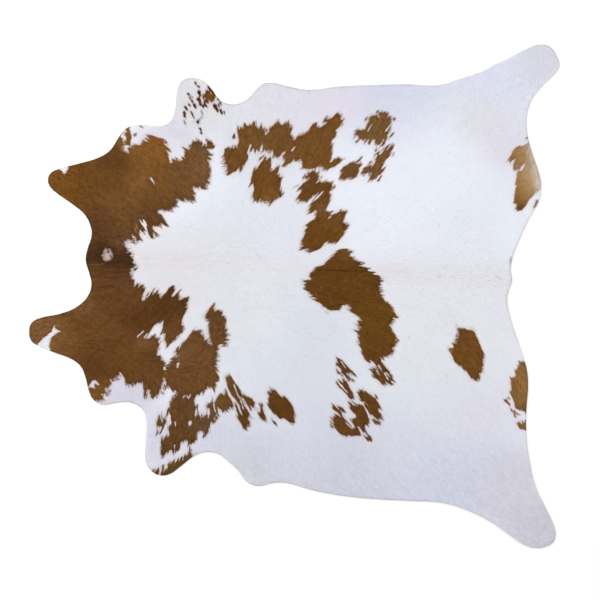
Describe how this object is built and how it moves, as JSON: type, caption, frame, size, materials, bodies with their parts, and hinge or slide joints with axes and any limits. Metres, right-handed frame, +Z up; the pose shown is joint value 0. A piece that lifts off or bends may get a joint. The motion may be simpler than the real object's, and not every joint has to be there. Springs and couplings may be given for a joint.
{
  "type": "cowhide rug",
  "caption": "Whole cowhide floor rug, hair side up, lying flat, white coat with brown patches, trimmed to the animal's outline.",
  "frame": {"origin": "on the floor under the middle of the hide, at the centre of its box", "axes": "+Z up through the hide, +X along the spine from the neck to the tail end, +Y towards the animal's right side"},
  "size_m": [2.1202, 2.0132, 0.006],
  "materials": {
    "cowhide": "short laid hair, white with brown patches, suede flesh side"
  },
  "bodies": {
    "root": {"hide": "cowhide"}
  },
  "joints": []
}
